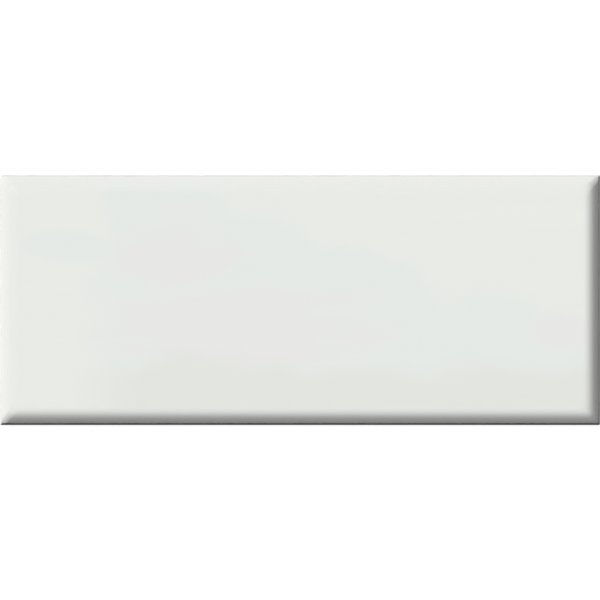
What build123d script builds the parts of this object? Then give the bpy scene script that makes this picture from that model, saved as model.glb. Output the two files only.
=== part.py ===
"""Bevelled ceramic wall tile, dry-pressed and fired as one piece.

The tile lies on its back: Z = 0 is the plane of the back ribs, +Z points out of the glazed face,
X runs along the long side and Y along the short side. The origin is the centre of the back.
All sizes are in millimetres and all angles in degrees.
"""

from build123d import *

import os
from math import cos, radians, sin, tan

# Overall size
tile_length = 600.0
tile_width = 250.0
tile_thickness = 11.0
corner_radius = 1.0  # in plan, where two sides meet

# Rim of the face, which rolls over in tangent arcs. Each slope is where its arc ends, from the flat face.
lead_radius = 34.0  # leads gently off the flat face
lead_slope = 7.5
shoulder_radius = 16.5  # turns over into the bevel
shoulder_slope = 30.5
bevel_radius = 46.0  # the bevel, which is slightly crowned
bevel_slope = 37.5
arris_radius = 1.5  # turns from the bevel down into the side

# Side, which leans out to an upright land, so that tiles set land to land leave a joint for the grout
side_slope = 60.0
land_height = 1.6
foot_radius = 0.5  # where the tile leaves the press mould

# Pressed relief on the back: shallow pockets between ribs, which key into the adhesive
pocket_pitch = 20.0  # nominal, and then spread so that the pockets fill the back evenly
pocket_depth = 0.6
pocket_draft = 40.0  # slope of a pocket's walls from the vertical
rib_width = 4.0  # between two pockets
border_width = 12.0  # plain border round the pockets

# Arcs of the rim from the flat face outwards: radius, slope where the arc starts, slope where it ends
rim_arcs = (
    (lead_radius, 0.0, lead_slope),
    (shoulder_radius, lead_slope, shoulder_slope),
    (bevel_radius, shoulder_slope, bevel_slope),
    (arris_radius, bevel_slope, side_slope),
)


def rim_reach():
    """Width of the rim in plan, from the edge of the flat face to the outline."""
    run = 0.0
    drop = 0.0
    for radius, start, end in rim_arcs:
        run += radius * (sin(radians(end)) - sin(radians(start)))
        drop += radius * (cos(radians(start)) - cos(radians(end)))
    side_rise = tile_thickness - drop - land_height
    return run + side_rise / tan(radians(side_slope))


def bevelled_section(plane, side):
    """Section across the tile between two opposite sides, drawn as one half and its mirror image."""
    half = side / 2
    with BuildSketch(plane) as section:
        with BuildLine():
            rim = Line((0, tile_thickness), (half - rim_reach(), tile_thickness))
            for radius, start, end in rim_arcs:
                rim = JernArc(rim @ 1, rim % 1, radius, start - end)
            Polyline(rim @ 1, (half, land_height), (half, foot_radius))
            foot = TangentArc((half, foot_radius), (half - foot_radius, 0), tangent=(0, -1))
            Line(foot @ 1, (0, 0))
            mirror(about=Plane.YZ)
        make_face()
    return section.sketch


def spread_pockets(side):
    """Number and spacing of the pockets along a side, between the plain borders."""
    span = side - 2 * border_width + rib_width
    count = round(span / pocket_pitch)
    return count, span / count


columns, column_pitch = spread_pockets(tile_length)
rows, row_pitch = spread_pockets(tile_width)

# One pocket of the back relief, as the mould's punch presses it
with BuildPart() as pocket:
    with BuildSketch():
        Rectangle(column_pitch - rib_width, row_pitch - rib_width)
    extrude(amount=pocket_depth, taper=pocket_draft)

with BuildPart() as tile:
    # Plan of the tile
    with BuildSketch():
        RectangleRounded(tile_length, tile_width, corner_radius)
    extrude(amount=tile_thickness)

    # The same section along both axes leaves rims that meet in mitres at the corners
    extrude(
        bevelled_section(Plane.XZ, tile_length),
        amount=tile_width,
        both=True,
        mode=Mode.INTERSECT,
    )
    extrude(
        bevelled_section(Plane.YZ, tile_width),
        amount=tile_length,
        both=True,
        mode=Mode.INTERSECT,
    )

    # Back relief
    with GridLocations(column_pitch, row_pitch, columns, rows):
        add(pocket.part, mode=Mode.SUBTRACT)

tile.part.label = "tile"

os.makedirs("parts", exist_ok=True)
export_step(tile.part, "parts/tile.step")
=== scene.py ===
"""Bevelled ceramic wall tile: a glossy off-white glaze over a bare, pressed and fired body.

The tile lies on its back with the glazed face up. X runs along its long side, Y along its short side.
Lengths are in metres and angles in degrees. The sizes of the rim and the back repeat the part's source.
Added here are finer forms: soft mitres, a faint unevenness of the glaze, the wavy lip where the glaze
ends below the arris, and rounded edges on the ribs of the back.
"""

from math import asin, cos, pi, radians, sin, sqrt, tan

import bmesh
import bpy
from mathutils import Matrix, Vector, noise


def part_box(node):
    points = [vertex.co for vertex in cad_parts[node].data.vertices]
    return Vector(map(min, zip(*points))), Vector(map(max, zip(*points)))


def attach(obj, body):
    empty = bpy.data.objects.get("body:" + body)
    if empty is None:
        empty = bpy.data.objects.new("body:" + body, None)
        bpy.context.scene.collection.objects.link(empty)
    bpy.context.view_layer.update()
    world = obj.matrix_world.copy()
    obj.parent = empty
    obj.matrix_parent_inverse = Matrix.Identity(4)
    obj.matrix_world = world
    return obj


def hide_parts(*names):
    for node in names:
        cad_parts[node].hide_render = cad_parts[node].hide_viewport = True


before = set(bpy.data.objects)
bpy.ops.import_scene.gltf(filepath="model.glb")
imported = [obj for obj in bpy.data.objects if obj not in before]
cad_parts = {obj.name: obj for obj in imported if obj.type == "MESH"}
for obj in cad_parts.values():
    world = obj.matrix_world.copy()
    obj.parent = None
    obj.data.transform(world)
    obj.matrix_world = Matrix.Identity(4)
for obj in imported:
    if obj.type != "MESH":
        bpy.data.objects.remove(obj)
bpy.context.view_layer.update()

MM = 0.001

# Outline of the tile, which lies centred on the origin with its back at zero height
tile_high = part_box("tile")[1]
half_length = tile_high.x
half_width = tile_high.y
thickness = tile_high.z

# Rim of the tile, as in the part's source
corner_radius = 1.0 * MM
lead_radius = 34.0 * MM
lead_slope = 7.5
shoulder_radius = 16.5 * MM
shoulder_slope = 30.5
bevel_radius = 46.0 * MM
bevel_slope = 37.5
arris_radius = 1.5 * MM
side_slope = 60.0
land_height = 1.6 * MM
foot_radius = 0.5 * MM

# Pockets of the back, as in the part's source
pocket_pitch = 20.0 * MM
pocket_depth = 0.6 * MM
rib_width = 4.0 * MM
border_width = 12.0 * MM

# What the part's source leaves out
contour_radius = 5.5 * MM  # of the arcs in which the rim's contours turn the tile's corners
glaze_wave = 0.03 * MM  # unevenness of the glazed face
glaze_wave_length = 90 * MM
glaze_overrun = 0.28 * MM  # how far the glaze runs down the side, below the arris
glaze_overrun_wave = 0.14 * MM
overrun_wave_length = 34 * MM
overrun_ripple_length = 9 * MM
overrun_ripple_share = 0.4
glaze_lip = 0.1 * MM  # thickness of the glaze where it ends
lip_foot = 0.12 * MM  # the bare side starts square under the lip for this much
land_edge_softening = 0.2 * MM

# Section of the glaze's end, in thicknesses of the glaze: down the side, and into it
glaze_lip_shape = ((-1.0, 0.0), (-0.3, 0.1), (0.0, 0.45), (0.0, 1.0))

# Lines of the mesh across a pocket's wall, and beside it on the flat floor, inwards from its mouth
pocket_wall_lines = (-0.25 * MM, 0.1 * MM, 0.45 * MM, 0.8 * MM)
pocket_floor_line = 1.2 * MM

# Fineness of the mesh
point_spacing = 3.0 * MM  # on average, along a side
corner_crowding = 0.7  # share by which the points close up towards the corners
lead_steps = 4
shoulder_steps = 12
bevel_steps = 6
arris_steps = 6
foot_steps = 4
corner_steps = 6

# The rim rolls over in tangent arcs: radius, slope where the arc starts, slope where it ends, steps
rim_arcs = (
    (lead_radius, 0.0, lead_slope, lead_steps),
    (shoulder_radius, lead_slope, shoulder_slope, shoulder_steps),
    (bevel_radius, shoulder_slope, bevel_slope, bevel_steps),
    (arris_radius, bevel_slope, side_slope, arris_steps),
)

GLAZE, BISCUIT = 0, 1


def ease(low, high, value):
    """Smooth step from 0 at low to 1 at high."""
    part = min(max((value - low) / (high - low), 0.0), 1.0)
    return part * part * (3 - 2 * part)


def glaze_unevenness(place):
    """Height that the unevenness of the glaze adds at a place."""
    return glaze_wave * noise.noise(Vector((place.x, place.y, 0.0)) / glaze_wave_length)


def glaze_end(place):
    """How far below the arris the glaze ends, at a point of the outline."""
    flat = Vector((place.x, place.y, 0.0))
    wave = noise.noise(flat / overrun_wave_length)
    ripple = noise.noise(flat / overrun_ripple_length)
    return glaze_overrun + glaze_overrun_wave * (wave + overrun_ripple_share * ripple)


def rim_section():
    """Inset and height of the rim's points, from the flat face to the end of the arris."""
    inset = 0.0
    height = thickness
    points = [(inset, height)]
    for radius, start, end, steps in rim_arcs:
        for step in range(1, steps + 1):
            slope = start + (end - start) * step / steps
            points.append((
                inset - radius * (sin(radians(slope)) - sin(radians(start))),
                height - radius * (cos(radians(start)) - cos(radians(slope))),
            ))
        inset, height = points[-1]
    side_run = (height - land_height) / tan(radians(side_slope))
    return [(point_inset - inset + side_run, point_height) for point_inset, point_height in points]


section = rim_section()
rim_start = section[0][0]
arris_start_inset, arris_start_height = section[-1 - arris_steps]
arris_end_inset, arris_end_height = section[-1]


def contour_inset(place):
    """Inset of the rim's contour through a place.

    A contour turns each corner in an arc, so its inset i solves (i + r - a)^2 + (i + r - b)^2 = r^2,
    where a and b are the place's own insets from the two sides and r is the contour's radius.
    """
    insets = (half_length - abs(place.x), half_width - abs(place.y))
    gap = abs(insets[0] - insets[1])
    if gap >= contour_radius:
        return min(insets)
    return (sum(insets) + sqrt(2 * contour_radius ** 2 - gap ** 2)) / 2 - contour_radius


def rim_height(inset):
    """Height of the rim at an inset. The bevel goes on straight past the start of the arris."""
    if inset <= arris_start_inset:
        return arris_start_height - (arris_start_inset - inset) * tan(radians(bevel_slope))
    run = rim_start - inset
    height = thickness
    for radius, start, end, steps in rim_arcs:
        width = radius * (sin(radians(end)) - sin(radians(start)))
        if run <= width:
            break
        height -= radius * (cos(radians(start)) - cos(radians(end)))
        run -= width
    slope = asin(max(run, 0.0) / radius + sin(radians(start)))
    return height - radius * (cos(radians(start)) - cos(slope))


def corner_drop(place, inset):
    """How much lower a place near the arris lies at a corner than elsewhere on its ring."""
    contour = min(contour_inset(place), arris_start_inset)
    return rim_height(min(inset, arris_start_inset)) - rim_height(contour)


def side_places(half_side):
    """Places of the points along a side, from -1 to 1, closer together towards the corners."""
    count = round(2 * half_side / point_spacing)
    shares = [2 * step / count - 1 for step in range(count + 1)]
    return [share + corner_crowding * sin(pi * share) / pi for share in shares]


def outline(inset):
    """Points of a rounded rectangle inside the tile's outline, each with its outward direction.

    They run counter-clockwise from the left end of the lower side.
    """
    reach_x = half_length - inset - corner_radius
    reach_y = half_width - inset - corner_radius
    sides = (
        (reach_x, reach_y, half_length),
        (reach_y, reach_x, half_width),
        (reach_x, reach_y, half_length),
        (reach_y, reach_x, half_width),
    )
    points = []
    for quarter, (reach, across, half_side) in enumerate(sides):
        along = Vector((cos(quarter * pi / 2), sin(quarter * pi / 2)))
        outward = Vector((along.y, -along.x))
        for share in side_places(half_side):
            points.append((along * reach * share + outward * (across + corner_radius), outward))
        centre = along * reach + outward * across
        for step in range(1, corner_steps):
            turn = pi / 2 * step / corner_steps
            direction = outward * cos(turn) + along * sin(turn)
            points.append((centre + direction * corner_radius, direction))
    return points


def add_level_ring(mesh, inset, height):
    """Ring of vertices round the tile, all at one height."""
    return [mesh.verts.new((*place, height)) for place, outward in outline(inset)]


def add_rim_ring(mesh, inset, height):
    """Ring of vertices on the glazed rim, which dips at the corners and evens out to its edge."""
    wave = inset / rim_start
    ring = []
    for place, outward in outline(inset):
        if inset > arris_start_inset:
            level = rim_height(contour_inset(place))
        else:
            level = height - corner_drop(place, inset)
        ring.append(mesh.verts.new((*place, level + wave * glaze_unevenness(place))))
    return ring


def add_side_ring(mesh, down, depth):
    """Ring on the leaning side, down from where the glaze ends there and depth below the surface."""
    run = cos(radians(side_slope))
    fall = sin(radians(side_slope))
    side_length = arris_end_inset / run
    ring = []
    feet = [place for place, outward in outline(0.0)]
    for (top, outward), foot in zip(outline(arris_end_inset), feet):
        height = arris_end_height - corner_drop(top, arris_end_inset)
        share = (glaze_end(top) + down) / side_length
        spot = Vector((*top, height)).lerp(Vector((*foot, land_height)), share)
        ring.append(mesh.verts.new(spot - depth * Vector((*outward * fall, run))))
    return ring


def join_rings(mesh, rings, material):
    """Bands of faces between neighbouring rings."""
    count = len(rings[0])
    for inner, outer in zip(rings, rings[1:]):
        for here in range(count):
            there = (here + 1) % count
            face = mesh.faces.new((inner[here], outer[here], outer[there], inner[there]))
            face.material_index = material


def fill_face(mesh, ring):
    """Closes the flat face with a grid inside its innermost ring, and fans at its corners."""
    long_count = len(side_places(half_length))
    short_count = len(side_places(half_width))
    arc = corner_steps - 1
    starts = [0]
    for count in (long_count, short_count, long_count):
        starts.append(starts[-1] + count + arc)
    lower = ring[starts[0]:starts[0] + long_count]
    right = ring[starts[1]:starts[1] + short_count]
    upper = ring[starts[2]:starts[2] + long_count][::-1]
    left = ring[starts[3]:starts[3] + short_count][::-1]
    grid = []
    for side_vertex in right:
        places = [Vector((vertex.co.x, side_vertex.co.y)) for vertex in lower]
        grid.append([mesh.verts.new((*place, thickness + glaze_unevenness(place))) for place in places])
    rows = [lower] + grid + [upper]
    for row, next_row in zip(rows, rows[1:]):
        for step in range(long_count - 1):
            mesh.faces.new((row[step], row[step + 1], next_row[step + 1], next_row[step]))
    for step in range(short_count - 1):
        mesh.faces.new((left[step], grid[step][0], grid[step + 1][0], left[step + 1]))
        mesh.faces.new((grid[step][-1], right[step], right[step + 1], grid[step + 1][-1]))
    corners = (grid[0][-1], grid[-1][-1], grid[-1][0], grid[0][0])
    ends = [starts[1], starts[2], starts[3], len(ring)]
    for centre, end in zip(corners, ends):
        fan = [ring[(end - arc - 1 + step) % len(ring)] for step in range(corner_steps + 1)]
        for here, there in zip(fan, fan[1:]):
            mesh.faces.new((centre, here, there))


def pocket_lines(half_side):
    """Places of the mesh's lines across the back, and how far inside a pocket each one lies."""
    insides = (*pocket_wall_lines, pocket_floor_line)
    span = 2 * (half_side - border_width) + rib_width
    count = round(span / pocket_pitch)
    pitch = span / count
    mouth = (pitch - rib_width) / 2
    border = half_side - border_width / 2
    lines = [(-border, -border_width / 2)]
    for index in range(count):
        middle = (index - (count - 1) / 2) * pitch
        lines += [(middle - mouth + inside, inside) for inside in insides]
        lines += [(middle + mouth - inside, inside) for inside in reversed(insides)]
    return lines + [(border, -border_width / 2)]


def fill_back(mesh, ring):
    """Closes the back inside its outer ring: a plain border, and pockets between ribs."""
    columns = pocket_lines(half_length)
    rows = pocket_lines(half_width)
    mouth, floor = pocket_wall_lines[0], pocket_wall_lines[-1]
    grid = []
    for y, inside_y in rows:
        grid.append([
            mesh.verts.new((x, y, pocket_depth * ease(mouth, floor, min(inside_x, inside_y))))
            for x, inside_x in columns
        ])
    for row, next_row in zip(grid, grid[1:]):
        for step in range(len(columns) - 1):
            face = mesh.faces.new((row[step], next_row[step], next_row[step + 1], row[step + 1]))
            face.material_index = BISCUIT
    right = [row[-1] for row in grid[1:-1]]
    left = [row[0] for row in grid[-2:0:-1]]
    edges = []
    for loop in (ring, grid[0] + right + grid[-1][::-1] + left):
        edges += [mesh.edges.get((here, there)) for here, there in zip(loop, loop[1:] + loop[:1])]
    filled = bmesh.ops.triangle_fill(mesh, use_beauty=True, edges=edges, normal=(0, 0, -1))
    for item in filled["geom"]:
        if isinstance(item, bmesh.types.BMFace):
            item.material_index = BISCUIT


def tile_mesh():
    """Closed mesh of the whole tile, glazed above and bare below."""
    mesh = bmesh.new()
    glazed = [add_rim_ring(mesh, inset, height) for inset, height in section]
    fill_face(mesh, glazed[0])
    for down, depth in glaze_lip_shape:
        glazed.append(add_side_ring(mesh, down * glaze_lip, depth * glaze_lip))
    join_rings(mesh, glazed, GLAZE)

    bare = [glazed[-1], add_side_ring(mesh, lip_foot, glaze_lip)]
    for above in (2 * land_edge_softening, land_edge_softening):
        run = above * cos(radians(side_slope))
        bare.append(add_level_ring(mesh, run, land_height + above * sin(radians(side_slope))))
    for below in (land_edge_softening, 2 * land_edge_softening):
        bare.append(add_level_ring(mesh, 0.0, land_height - below))
    for step in range(foot_steps + 1):
        turn = pi / 2 * step / foot_steps
        inset = foot_radius * (1 - cos(turn))
        bare.append(add_level_ring(mesh, inset, foot_radius * (1 - sin(turn))))
    bare.append(add_level_ring(mesh, 2 * foot_radius, 0.0))  # the foot's shading ends here, on the flat
    join_rings(mesh, bare, BISCUIT)
    fill_back(mesh, bare[-1])

    bmesh.ops.recalc_face_normals(mesh, faces=mesh.faces)
    data = bpy.data.meshes.new("glazed_tile")
    mesh.to_mesh(data)
    mesh.free()
    data.shade_smooth()
    return data


def srgb(red, green, blue):
    """Linear colour of an sRGB colour given in 0 to 255."""
    def linear(value):
        # A straight toe, and then a power curve
        value /= 255
        return value / 12.92 if value <= 0.04045 else ((value + 0.055) / 1.055) ** 2.4
    return (linear(red), linear(green), linear(blue), 1.0)


def grey(level):
    """Opaque grey of a linear level."""
    return (level, level, level, 1.0)


def new_material(name):
    """New material, with its nodes and links."""
    material = bpy.data.materials.new(name)
    material.use_nodes = True
    return material, material.node_tree.nodes, material.node_tree.links


def set_input(links, socket, value):
    """Links a socket to an input, or sets the input to a plain value."""
    if isinstance(value, bpy.types.NodeSocket):
        links.new(value, socket)
    else:
        socket.default_value = value


def math_node(nodes, links, operation, *values):
    """Math node on sockets or plain numbers."""
    node = nodes.new("ShaderNodeMath")
    node.operation = operation
    for socket, value in zip(node.inputs, values):
        set_input(links, socket, value)
    return node.outputs[0]


def smooth_range(nodes, links, value, low, high):
    """Socket that goes smoothly from 0 where value is low to 1 where it is high."""
    node = nodes.new("ShaderNodeMapRange")
    node.interpolation_type = "SMOOTHSTEP"
    links.new(value, node.inputs["Value"])
    node.inputs["From Min"].default_value = low
    node.inputs["From Max"].default_value = high
    return node.outputs["Result"]


def cloud(nodes, links, place, lengths):
    """Noise from 0 to 1 whose features have the given lengths along X, Y and Z."""
    scaling = nodes.new("ShaderNodeMapping")
    links.new(place, scaling.inputs["Vector"])
    scaling.inputs["Scale"].default_value = [1 / length for length in lengths]
    node = nodes.new("ShaderNodeTexNoise")
    links.new(scaling.outputs["Vector"], node.inputs["Vector"])
    node.inputs["Scale"].default_value = 1.0
    return node.outputs["Fac"]


def colour_socket(sockets, name):
    """A mix node's colour socket, among those of the same name for other types of value."""
    return [socket for socket in sockets if socket.identifier == name + "_Color"][0]


def mix_colour(nodes, links, factor, first, second, blend="MIX"):
    """Socket with the first colour where the factor is 0, and the second blended in where it is 1."""
    node = nodes.new("ShaderNodeMix")
    node.data_type = "RGBA"
    node.blend_type = blend
    set_input(links, node.inputs["Factor"], factor)
    set_input(links, colour_socket(node.inputs, "A"), first)
    set_input(links, colour_socket(node.inputs, "B"), second)
    return colour_socket(node.outputs, "Result")


def soft_patch(nodes, links, place, wobble, middle, reach):
    """Socket that is 1 in the middle of an oval patch with a wobbly border, and 0 outside it."""
    scaling = nodes.new("ShaderNodeMapping")
    scaling.vector_type = "TEXTURE"
    links.new(place, scaling.inputs["Vector"])
    scaling.inputs["Location"].default_value = (*middle, 0)
    scaling.inputs["Scale"].default_value = (*reach, patch_height)
    length = nodes.new("ShaderNodeVectorMath")
    length.operation = "LENGTH"
    links.new(scaling.outputs["Vector"], length.inputs[0])
    distance = math_node(nodes, links, "MULTIPLY_ADD", wobble, patch_wobble, length.outputs["Value"])
    return smooth_range(nodes, links, distance, *(edge + patch_wobble / 2 for edge in patch_border))


def bump(nodes, links, height, depth):
    """Normal of a surface that a height from 0 to 1 raises by up to a depth."""
    node = nodes.new("ShaderNodeBump")
    node.inputs["Distance"].default_value = depth
    links.new(height, node.inputs["Height"])
    return node.outputs["Normal"]


# Glaze: its tints drift across the face in wide patches, all within a few levels of off-white
glaze_cool = srgb(228.5, 233, 229)
glaze_warm = srgb(231.5, 234, 229)
glaze_neutral = srgb(230.5, 231, 229)
glaze_low = srgb(226, 228, 223)
glaze_pale = srgb(233, 235, 231)
rim_shade_tint = srgb(208, 209, 206)  # painted shade round the rim, which tones down the lit bevels
mitre_shade_tint = srgb(204, 205, 202)  # painted shade, deepest on the mitres
tint_wobble_length = 0.09
warm_slant = 0.35  # the upper right turns warm across this slant
warm_border = (0.05, 0.09)
warm_wobble = 0.11
left_border = (-0.165, -0.215)  # along X, where the left end turns warm
low_border = (-0.05, -0.08)  # along Y, where the lower edge turns darker
low_start = (-0.24, -0.15)  # along X, where that band starts
low_end = (-0.113, -0.105)  # along Y, where it ends at the rim
low_wobble = 0.06

# Patches of tint on the glaze: middle, reach and tint of each
glaze_patches = (
    ((-0.127, 0.045), (0.07, 0.042), glaze_neutral),
    ((-0.045, -0.03), (0.15, 0.05), glaze_neutral),
    ((0.265, -0.032), (0.04, 0.026), glaze_neutral),
    ((-0.235, 0.05), (0.05, 0.02), glaze_cool),
    ((0.21, 0.085), (0.085, 0.011), glaze_pale),
)
patch_height = 1.0  # tall enough to take in the whole thickness of the tile
patch_border = (1.2, 0.5)
patch_wobble = 1.6
patch_wobble_lengths = (0.11, 0.022, 0.05)

# Streaks, thickness, gloss and fine ripple of the glaze
streak_lengths = (0.22, 0.004, 0.05)
streak_depth = 0.012
rim_shade_start = 18.5 * MM  # the painted shade starts here and deepens out to the edge
rim_shade_end = 6 * MM
mitre_reach = 5 * MM  # to each side of a mitre
mitre_shade_start = 12.5 * MM  # a mitre's painted shade deepens from here out to the corner
mitre_shade_end = 8.5 * MM
glaze_roughness = (0.1, 0.14)
roughness_length = 0.03
glaze_ripple = 0.003 * MM
glaze_ripple_length = 4 * MM


def glaze():
    """Glossy off-white glaze, with faint drifts of tint and fine streaks along the tile."""
    material, nodes, links = new_material("off_white_glaze")
    shader = nodes["Principled BSDF"]
    place = nodes.new("ShaderNodeTexCoord").outputs["Object"]
    split = nodes.new("ShaderNodeSeparateXYZ")
    links.new(place, split.inputs[0])
    x, y = split.outputs["X"], split.outputs["Y"]

    # Wide drifts of tint, and a band that is darker along the lower edge
    wobble = cloud(nodes, links, place, (tint_wobble_length,) * 3)
    slant = math_node(nodes, links, "MULTIPLY_ADD", x, warm_slant, y)
    slant = math_node(nodes, links, "MULTIPLY_ADD", wobble, warm_wobble, slant)
    warm = smooth_range(nodes, links, slant, *(edge + warm_wobble / 2 for edge in warm_border))
    left = math_node(nodes, links, "MULTIPLY_ADD", wobble, warm_wobble, x)
    left = smooth_range(nodes, links, left, *(edge + warm_wobble / 2 for edge in left_border))
    warm = math_node(nodes, links, "MAXIMUM", warm, left)
    colour = mix_colour(nodes, links, warm, glaze_cool, glaze_warm)
    feathering = cloud(nodes, links, place, patch_wobble_lengths)
    for middle, reach, tint in glaze_patches:
        patch = soft_patch(nodes, links, place, feathering, middle, reach)
        colour = mix_colour(nodes, links, patch, colour, tint)
    low = math_node(nodes, links, "MULTIPLY_ADD", wobble, low_wobble, y)
    low = smooth_range(nodes, links, low, *(edge + low_wobble / 2 for edge in low_border))
    for axis, border in ((x, low_start), (y, low_end)):
        low = math_node(nodes, links, "MULTIPLY", low, smooth_range(nodes, links, axis, *border))
    colour = mix_colour(nodes, links, low, colour, glaze_low)

    # Fine streaks along the tile
    streaks = cloud(nodes, links, place, streak_lengths)
    shade = math_node(nodes, links, "MULTIPLY_ADD", streaks, streak_depth, 1 - streak_depth / 2)
    colour = mix_colour(nodes, links, 1.0, colour, shade, "MULTIPLY")

    # Painted shade round the rim, and most of all on its mitres, which tones down the lit bevels and
    # mitres
    insets = []
    for axis, half_side in ((x, half_length), (y, half_width)):
        off_middle = math_node(nodes, links, "ABSOLUTE", axis)
        insets.append(math_node(nodes, links, "SUBTRACT", half_side, off_middle))
    inset = math_node(nodes, links, "MINIMUM", *insets)
    rim_shade_share = smooth_range(nodes, links, inset, rim_shade_start, rim_shade_end)
    colour = mix_colour(nodes, links, rim_shade_share, colour, rim_shade_tint)
    gap = math_node(nodes, links, "SUBTRACT", *insets)
    gap = math_node(nodes, links, "ABSOLUTE", gap)
    near_mitre = smooth_range(nodes, links, gap, mitre_reach, 0.0)
    near_corner = smooth_range(nodes, links, inset, mitre_shade_start, mitre_shade_end)
    mitre = math_node(nodes, links, "MULTIPLY", near_mitre, near_corner)
    colour = mix_colour(nodes, links, mitre, colour, mitre_shade_tint)
    links.new(colour, shader.inputs["Base Color"])

    gloss = nodes.new("ShaderNodeMapRange")
    links.new(cloud(nodes, links, place, (roughness_length,) * 3), gloss.inputs["Value"])
    gloss.inputs["To Min"].default_value, gloss.inputs["To Max"].default_value = glaze_roughness
    links.new(gloss.outputs["Result"], shader.inputs["Roughness"])
    ripple = cloud(nodes, links, place, (glaze_ripple_length,) * 3)
    links.new(bump(nodes, links, ripple, glaze_ripple), shader.inputs["Normal"])
    return material


# Bare fired body
biscuit_colour = srgb(209, 209, 207)
biscuit_dark = srgb(200, 199, 197)
biscuit_speck = srgb(174, 164, 150)
kiln_wash = srgb(227, 226, 223)
biscuit_roughness = 0.85
biscuit_gloss = 0.15
mottle_length = 16 * MM
mottle_range = (0.75, 1.25)
grain_length = 0.9 * MM
grain_height = 0.03 * MM
speck_length = 1.6 * MM
speck_range = (0.7, 0.76)
wash_length = 22 * MM
wash_height = (0.2 * MM, 0.05 * MM)  # only what touched the kiln's rollers
wash_patches = (0.4, 0.6)


def biscuit():
    """Porous fired body: mottled, speckled and grainy, with kiln wash left on the ribs of the back."""
    material, nodes, links = new_material("fired_biscuit")
    shader = nodes["Principled BSDF"]
    place = nodes.new("ShaderNodeTexCoord").outputs["Object"]
    split = nodes.new("ShaderNodeSeparateXYZ")
    links.new(place, split.inputs[0])
    grain = cloud(nodes, links, place, (grain_length,) * 3)
    mottle = math_node(nodes, links, "ADD", grain, cloud(nodes, links, place, (mottle_length,) * 3))
    mottle = smooth_range(nodes, links, mottle, *mottle_range)
    colour = mix_colour(nodes, links, mottle, biscuit_dark, biscuit_colour)
    on_rib = smooth_range(nodes, links, split.outputs["Z"], *wash_height)
    patches = smooth_range(nodes, links, cloud(nodes, links, place, (wash_length,) * 3), *wash_patches)
    washed = math_node(nodes, links, "MULTIPLY", on_rib, patches)
    colour = mix_colour(nodes, links, washed, colour, kiln_wash)
    specks = smooth_range(nodes, links, cloud(nodes, links, place, (speck_length,) * 3), *speck_range)
    colour = mix_colour(nodes, links, specks, colour, biscuit_speck)
    links.new(colour, shader.inputs["Base Color"])
    shader.inputs["Roughness"].default_value = biscuit_roughness
    shader.inputs["Specular IOR Level"].default_value = biscuit_gloss
    links.new(bump(nodes, links, grain, grain_height), shader.inputs["Normal"])
    return material


def add_tile():
    """The tile as one piece, glazed above and bare below."""
    tile = bpy.data.objects.new("glazed_tile", tile_mesh())
    bpy.context.scene.collection.objects.link(tile)
    tile.data.materials.append(glaze())
    tile.data.materials.append(biscuit())
    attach(tile, "root")
    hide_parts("tile")


# Stage
floor_size = 12.0
floor_white = 0.9  # share of the floor's white that doesn't depend on the light
floor_shading = 0.3  # share that does, and shows the tile's shadow
floor_bounce = 0.12  # how much light the floor throws back at the tile
backdrop_grey = 0.03

# Lights, each with its elevation, its azimuth from +X towards +Y, its spread and its strength
key_light = (35.2, 139.6, 18.0, 5.11)
fill_light = (14.0, 0.0, 30.0, 0.38)

# Camera
lens = 135.0
sensor = 36.0


def seen_directly(nodes, links):
    """Socket that is 1 for camera, mirror and see-through rays, and 0 for rays that light things."""
    path = nodes.new("ShaderNodeLightPath")
    total = path.outputs["Is Camera Ray"]
    for name in ("Is Glossy Ray", "Is Transmission Ray"):
        total = math_node(nodes, links, "MAXIMUM", total, path.outputs[name])
    return total


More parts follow.
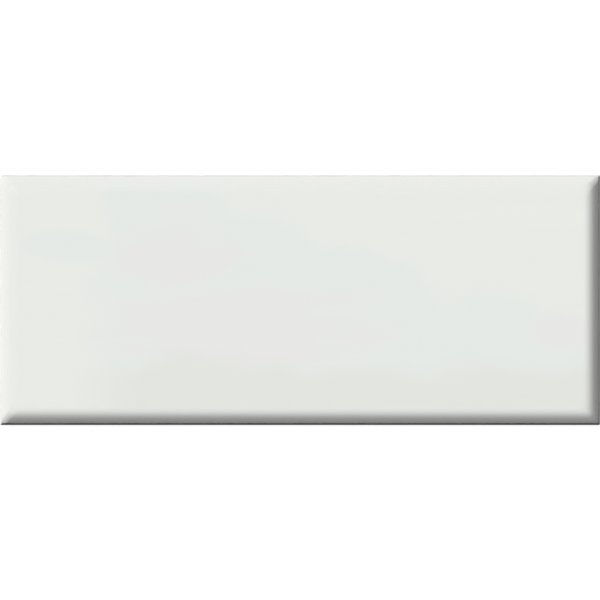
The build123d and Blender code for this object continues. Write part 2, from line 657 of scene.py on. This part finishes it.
def add_floor():
    """White floor that shows the tile's shadow, and throws only a little light back at the tile."""
    bpy.ops.mesh.primitive_plane_add(size=floor_size)
    floor = bpy.context.object
    floor.name = "floor"
    material, nodes, links = new_material("pale_floor")
    nodes.remove(nodes["Principled BSDF"])
    output = nodes["Material Output"]
    bounce = nodes.new("ShaderNodeBsdfDiffuse")
    bounce.inputs["Color"].default_value = grey(floor_bounce)
    shadowed = nodes.new("ShaderNodeBsdfDiffuse")
    shadowed.inputs["Color"].default_value = grey(floor_shading)
    white = nodes.new("ShaderNodeEmission")
    white.inputs["Strength"].default_value = floor_white
    shown = nodes.new("ShaderNodeAddShader")
    links.new(shadowed.outputs[0], shown.inputs[0])
    links.new(white.outputs[0], shown.inputs[1])
    choice = nodes.new("ShaderNodeMixShader")
    links.new(seen_directly(nodes, links), choice.inputs["Fac"])
    links.new(bounce.outputs[0], choice.inputs[1])
    links.new(shown.outputs[0], choice.inputs[2])
    links.new(choice.outputs[0], output.inputs["Surface"])
    floor.data.materials.append(material)


def add_world():
    """White surroundings, which light the tile only faintly."""
    world = bpy.data.worlds.new("studio")
    bpy.context.scene.world = world
    world.use_nodes = True
    nodes = world.node_tree.nodes
    links = world.node_tree.links
    dim = nodes["Background"]
    dim.inputs["Color"].default_value = grey(backdrop_grey)
    white = nodes.new("ShaderNodeBackground")
    white.inputs["Color"].default_value = grey(1.0)
    choice = nodes.new("ShaderNodeMixShader")
    links.new(seen_directly(nodes, links), choice.inputs["Fac"])
    links.new(dim.outputs[0], choice.inputs[1])
    links.new(white.outputs[0], choice.inputs[2])
    links.new(choice.outputs[0], nodes["World Output"].inputs["Surface"])


def add_light(name, elevation, azimuth, spread, strength):
    """Far lamp that lights the whole tile evenly, and that the glaze doesn't mirror."""
    lamp = bpy.data.lights.new(name, "SUN")
    lamp.energy = strength
    lamp.angle = radians(spread)
    # Rays that met the lamp by chance would leave bright specks on the glaze
    lamp.cycles.use_multiple_importance_sampling = False
    light = bpy.data.objects.new(name, lamp)
    bpy.context.scene.collection.objects.link(light)
    level = cos(radians(elevation))
    towards = Vector((
        cos(radians(azimuth)) * level,
        sin(radians(azimuth)) * level,
        sin(radians(elevation)),
    ))
    light.rotation_mode = "QUATERNION"
    light.rotation_quaternion = towards.to_track_quat("Z", "Y")
    light.visible_glossy = False


def add_camera():
    """Camera that looks straight down, with the tile from side to side of the picture."""
    data = bpy.data.cameras.new("camera")
    data.lens = lens
    data.sensor_width = sensor
    camera = bpy.data.objects.new("camera", data)
    bpy.context.scene.collection.objects.link(camera)
    camera.location = (0, 0, land_height + 2 * half_length * lens / sensor)
    bpy.context.scene.camera = camera


add_tile()
add_floor()
add_world()
add_light("key", *key_light)
add_light("fill", *fill_light)
add_camera()
bpy.context.scene.view_settings.view_transform = "Standard"
